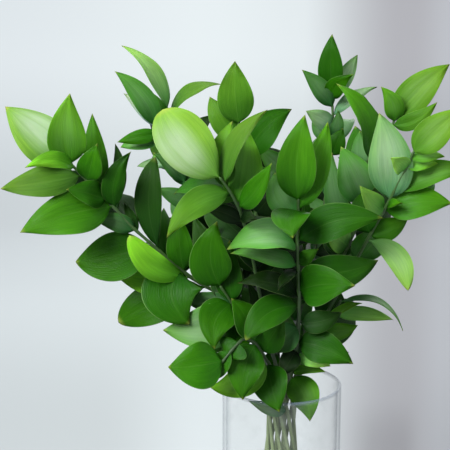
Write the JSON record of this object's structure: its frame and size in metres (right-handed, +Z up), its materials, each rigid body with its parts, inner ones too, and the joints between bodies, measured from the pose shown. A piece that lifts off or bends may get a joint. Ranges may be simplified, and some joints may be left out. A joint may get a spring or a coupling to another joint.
{
  "type": "cut foliage in a glass cylinder vase",
  "caption": "Bunch of cut round-leaf ruscus, slender stems with broad pointed leaves, standing in water in a clear glass cylinder.",
  "frame": {"origin": "middle of the vase's underside, on the surface it stands on", "axes": "+Z up along the vase's axis, +X to the right and +Y away as the bunch is seen from its front"},
  "size_m": [0.4341, 0.2778, 0.5861],
  "materials": {
    "vase_glass": "clear and polished",
    "water": "clear",
    "leaf": "smooth and glossy, with faint veins",
    "stem": "satin green"
  },
  "bodies": {
    "root": {"glass_vase": "vase_glass", "water": "water", "leafy_stem_pale_front": "leaf", "leafy_stem_front": "leaf", "leafy_stem_far_left": "leaf", "leafy_stem_low_left": "leaf", "leafy_stem_low_front": "leaf", "leafy_stem_near_right": "leaf", "leafy_stem_right": "leaf", "leafy_stem_low_right": "leaf", "leafy_stem_top_middle": "leaf", "leafy_stem_top_right": "leaf", "leafy_stem_far_right": "leaf", "leafy_stem_top_left": "leaf", "leafy_stem_upper_left": "leaf", "leafy_stem_back_right": "leaf", "leafy_stem_back_left": "leaf"}
  },
  "joints": []
}
